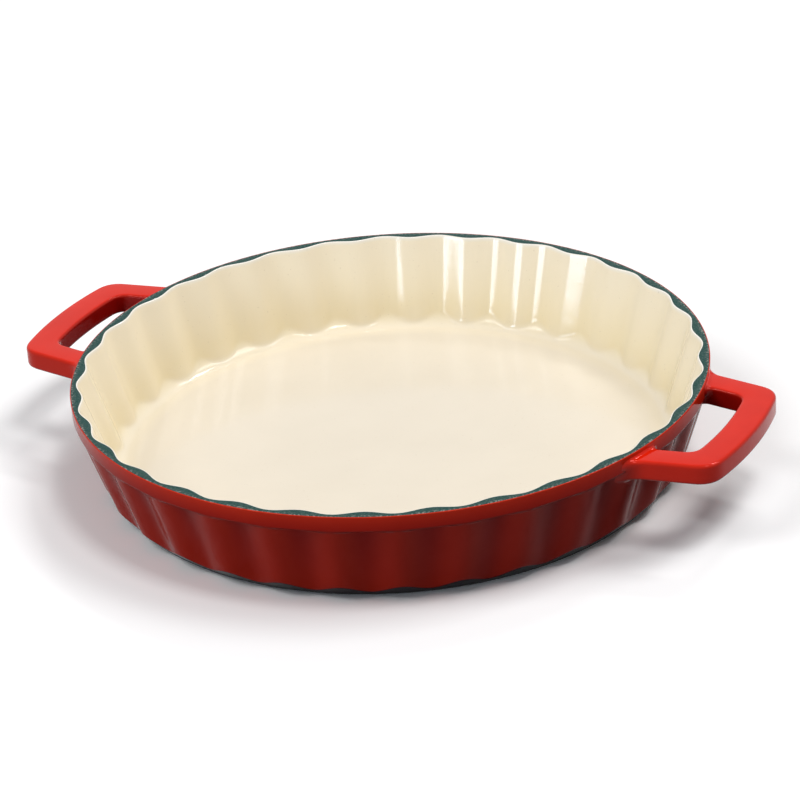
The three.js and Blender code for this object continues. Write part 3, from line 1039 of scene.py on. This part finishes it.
# %% Camera
CAMERA_PLACE = Vector((0.63428, -1.16293, 0.69174))
CAMERA_AIM = Vector((-0.00405, 0.01496, 0.02))
CAMERA_ROLL = math.radians(-3.972)
FOCAL_LENGTH = 151.03
SENSOR_WIDTH = 36.0
view_line = (CAMERA_AIM - CAMERA_PLACE).normalized()
level_right = view_line.cross(Vector((0, 0, 1))).normalized()
level_up = level_right.cross(view_line)
right = level_right * math.cos(CAMERA_ROLL) + level_up * math.sin(CAMERA_ROLL)
up = level_up * math.cos(CAMERA_ROLL) - level_right * math.sin(CAMERA_ROLL)
lens = bpy.data.cameras.new("camera")
lens.lens = FOCAL_LENGTH
lens.sensor_width = SENSOR_WIDTH
camera = bpy.data.objects.new("camera", lens)
turned = Matrix((right, up, -view_line)).transposed().to_4x4()
camera.matrix_world = Matrix.Translation(CAMERA_PLACE) @ turned
bpy.context.scene.collection.objects.link(camera)
bpy.context.scene.camera = camera
print(f"camera {CAMERA_PLACE.length:.2f} m from the foot of the pan")

# %% [markdown]
# ## Light
# A glossy thing is lit by what it mirrors. A picture of a studio could be wrapped round it,
# but soft boxes can be placed and weighed one by one, so they stand round the line of sight.
# Each one's strength is given as the share of white it puts on a flat white surface. The
# shares and the room's own light add up to a little more than one, as the wall keeps some of
# it off the floor of the pan, and colours come out about as they are written. The low strip
# on the left is a shade cool and draws the bright lines down the pillars.

# %% Soft boxes
VIEW_AZIMUTH = math.atan2(CAMERA_PLACE.y, CAMERA_PLACE.x)
NEUTRAL = (1.0, 1.0, 1.0)
COOL = (0.7, 0.82, 1.0)


def soft_box(name, turn, elevation, distance, size, share, colour=NEUTRAL):
    """Lamp turned to the right of the camera by some degrees, at an elevation."""
    lamp = bpy.data.lights.new(name, "AREA")
    lamp.shape = "RECTANGLE"
    lamp.size, lamp.size_y = size
    lamp.color = colour
    rise = math.radians(elevation)
    lamp.energy = share * math.pi ** 2 * distance ** 2 / math.sin(rise)
    angle = VIEW_AZIMUTH + math.radians(turn)
    level_way = Vector((math.cos(angle), math.sin(angle), 0.0))
    way = level_way * math.cos(rise) + Vector((0, 0, math.sin(rise)))
    box = bpy.data.objects.new(name, lamp)
    box.location = way * distance
    box.rotation_euler = (-way).to_track_quat("-Z", "Y").to_euler()
    box.visible_camera = False
    bpy.context.scene.collection.objects.link(box)
    print(f"{name}: {lamp.energy:.1f} W at {elevation} degrees")


soft_box("top_box", turn=48, elevation=70, distance=6.0, size=(1.4, 1.2), share=0.24)
soft_box("right_box", turn=100, elevation=57, distance=5.2, size=(2.6, 1.8), share=0.31)
soft_box("left_box", turn=-70, elevation=50, distance=5.2, size=(2.2, 2.0), share=0.25)
soft_box("back_box", turn=153, elevation=50, distance=5.2, size=(1.4, 0.35), share=0.10)
soft_box("left_strip", turn=-50, elevation=10.2, distance=3.2, size=(1.3, 0.36), share=0.04,
         colour=COOL)

# %% Room light
ROOM_LIGHT = 0.24
room = bpy.data.worlds.new("room")
room.use_nodes = True
backdrop = room.node_tree.nodes["Background"]
backdrop.inputs["Strength"].default_value = 1.0
room_tone = tones(room, looked_at(room), (0.0, grey(ROOM_LIGHT)), (1.0, NEUTRAL))
join(room, room_tone, backdrop.inputs["Color"])
bpy.context.scene.world = room
bpy.context.scene.view_settings.view_transform = "Standard"
print(f"room light {ROOM_LIGHT}, and white to the eye")

# %% [markdown]
# ## Sizes
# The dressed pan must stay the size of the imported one, so both boxes are written down and
# compared.

# %% Write the sizes
seen_box = [list(corner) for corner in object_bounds()]
print("packed box", cad_box, "dressed box", seen_box)
apart = np.abs(np.array(seen_box) - np.array(cad_box)).max() / MILLIMETRE
print(f"the two boxes differ by {apart:.4f} mm at most")
